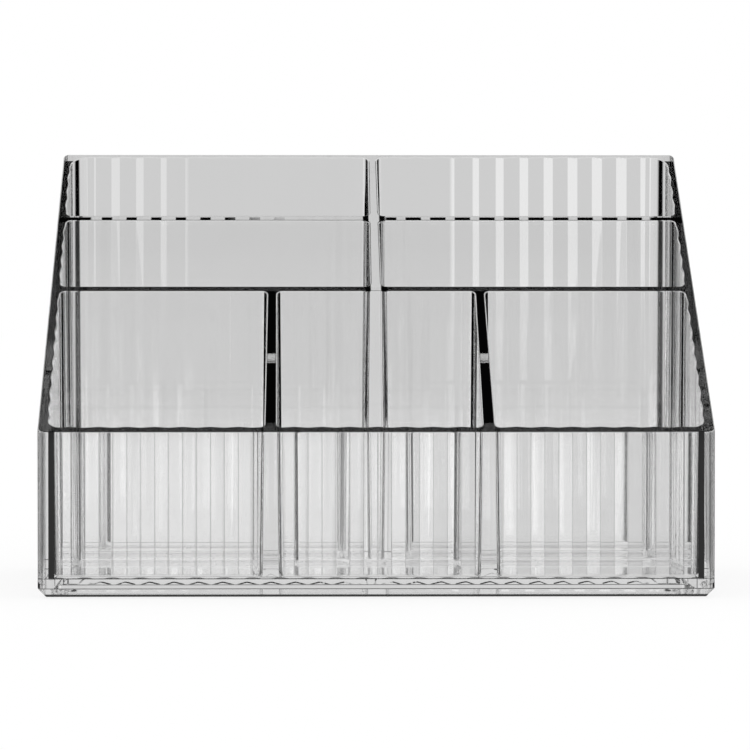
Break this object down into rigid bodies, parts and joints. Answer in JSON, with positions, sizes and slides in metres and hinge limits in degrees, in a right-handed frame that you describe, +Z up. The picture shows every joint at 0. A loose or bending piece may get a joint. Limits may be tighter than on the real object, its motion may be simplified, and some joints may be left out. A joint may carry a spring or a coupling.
{
  "type": "compartment organizer",
  "caption": "Clear open-topped organizer with compartments in stepped rows, fluted inner walls and a top that slopes up to a tall back.",
  "frame": {"origin": "middle of the footprint on the ground", "axes": "+X to the right, +Y from the low front to the tall back, +Z up"},
  "size_m": [0.24, 0.188, 0.1618],
  "materials": {
    "clear_plastic": "clear colourless plastic, polished, see-through"
  },
  "bodies": {
    "root": {"base": "clear_plastic", "front_wall": "clear_plastic", "back_wall": "clear_plastic", "left_wall": "clear_plastic", "right_wall": "clear_plastic", "front_cross_wall": "clear_plastic", "rear_cross_wall": "clear_plastic", "centre_divider": "clear_plastic", "front_left_divider": "clear_plastic", "front_right_divider": "clear_plastic"}
  },
  "joints": []
}
